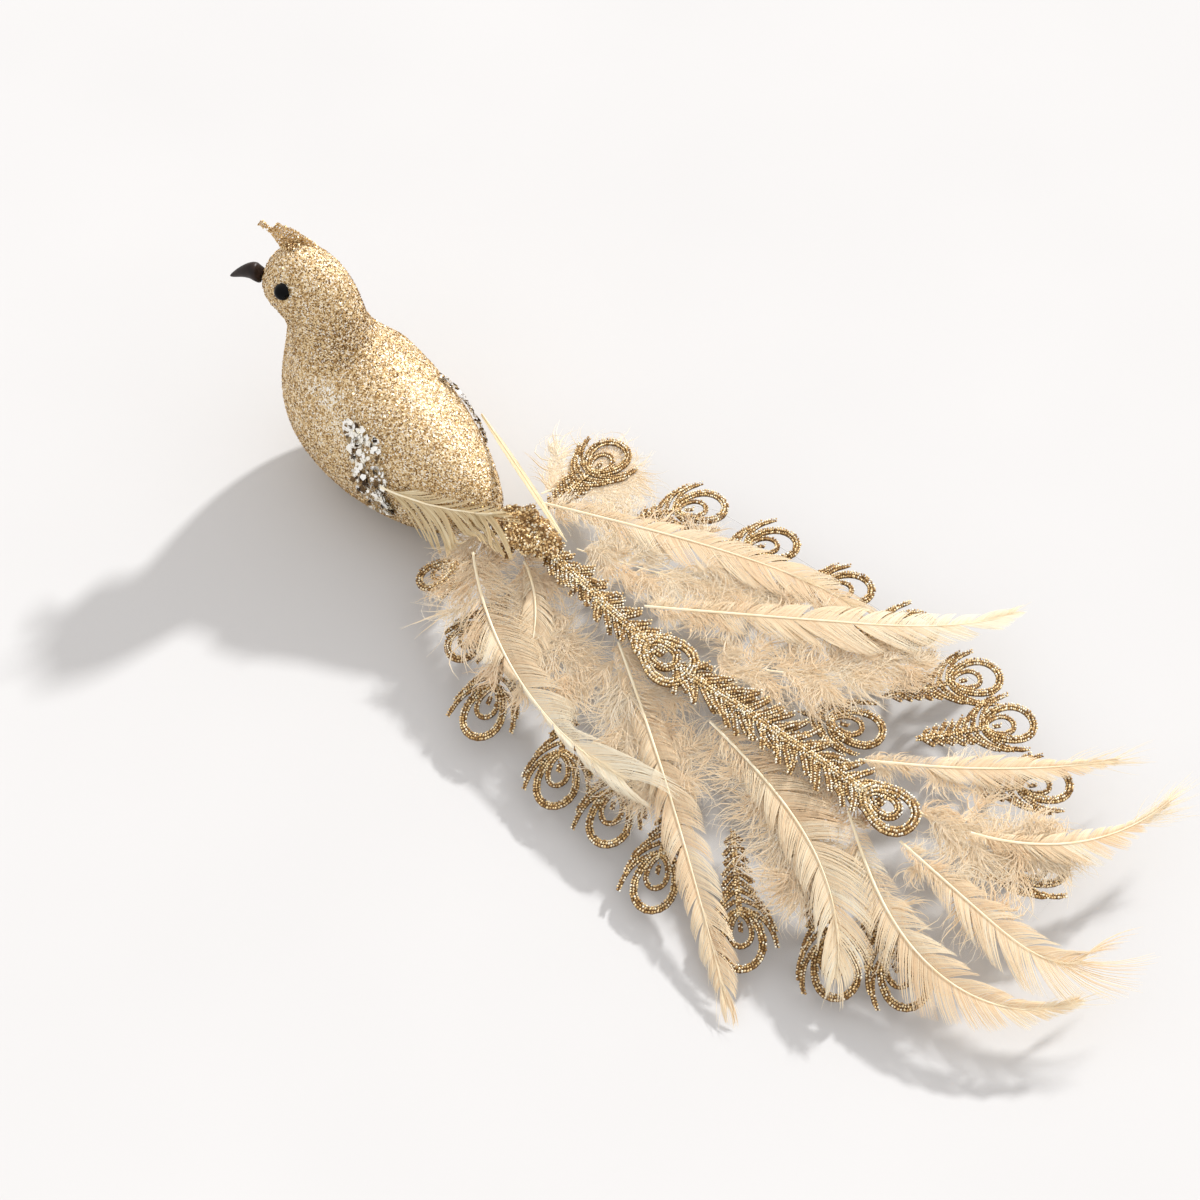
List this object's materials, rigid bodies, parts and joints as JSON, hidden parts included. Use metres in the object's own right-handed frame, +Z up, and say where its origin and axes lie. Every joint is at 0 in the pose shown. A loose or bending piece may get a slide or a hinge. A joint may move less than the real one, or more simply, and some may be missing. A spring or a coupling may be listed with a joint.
{
  "type": "glitter peacock ornament with feather tail",
  "caption": "Champagne glitter bird ornament with a netted crest, bead eyes and a long low tail of cream feathers and gold glitter eye sprays on clear film.",
  "frame": {"origin": "centre of the bounding box in plan, on the surface the belly rests on", "axes": "+X from the head to the tail end, +Z up"},
  "size_m": [0.3346, 0.1546, 0.0853],
  "materials": {
    "glitter_champagne": "champagne glitter grains over a plastic foam form",
    "glitter_gold": "twisted gold glitter cord",
    "beak_brown": "satin moulded plastic",
    "bead_black": "gloss bead",
    "mirror_flakes": "loose mirror flakes",
    "clear_film": "thin clear plastic film",
    "feather_cream": "natural feather, dyed cream",
    "down_peach": "soft marabou fluff"
  },
  "bodies": {
    "root": {"body": "glitter_champagne", "beak": "beak_brown", "eye_left": "bead_black", "eye_right": "bead_black", "crest": "glitter_gold", "wing_flakes_left": "mirror_flakes", "wing_flakes_right": "mirror_flakes", "wing_feather_left": "feather_cream", "wing_feather_right": "feather_cream", "tail_root": "glitter_gold", "tail_film": "clear_film", "eye_spray_middle": "glitter_gold", "spine_spray_root": "glitter_gold", "spine_spray_front": "glitter_gold", "spine_spray_back": "glitter_gold", "eye_spray_left_1": "glitter_gold", "eye_spray_right_1": "glitter_gold", "eye_spray_left_2": "glitter_gold", "eye_spray_right_2": "glitter_gold", "eye_spray_left_3": "glitter_gold", "eye_spray_right_3": "glitter_gold", "eye_spray_left_4": "glitter_gold", "eye_spray_right_4": "glitter_gold", "eye_spray_left_5": "glitter_gold", "eye_spray_right_5": "glitter_gold", "eye_spray_left_6": "glitter_gold", "eye_spray_right_6": "glitter_gold", "eye_spray_left_7": "glitter_gold", "eye_spray_right_7": "glitter_gold", "eye_spray_left_8": "glitter_gold", "eye_spray_right_8": "glitter_gold", "eye_spray_left_9": "glitter_gold", "eye_spray_right_9": "glitter_gold", "down_left_1": "down_peach", "down_left_2": "down_peach", "down_left_3": "down_peach", "down_right_1": "down_peach", "down_right_2": "down_peach", "down_right_3": "down_peach", "down_right_4": "down_peach", "feather_left_1": "feather_cream", "feather_left_2": "feather_cream", "feather_left_3": "feather_cream", "feather_left_4": "feather_cream", "feather_left_5": "feather_cream", "feather_left_6": "feather_cream", "feather_right_1": "feather_cream", "feather_right_2": "feather_cream", "feather_right_3": "feather_cream", "feather_right_4": "feather_cream"}
  },
  "joints": []
}
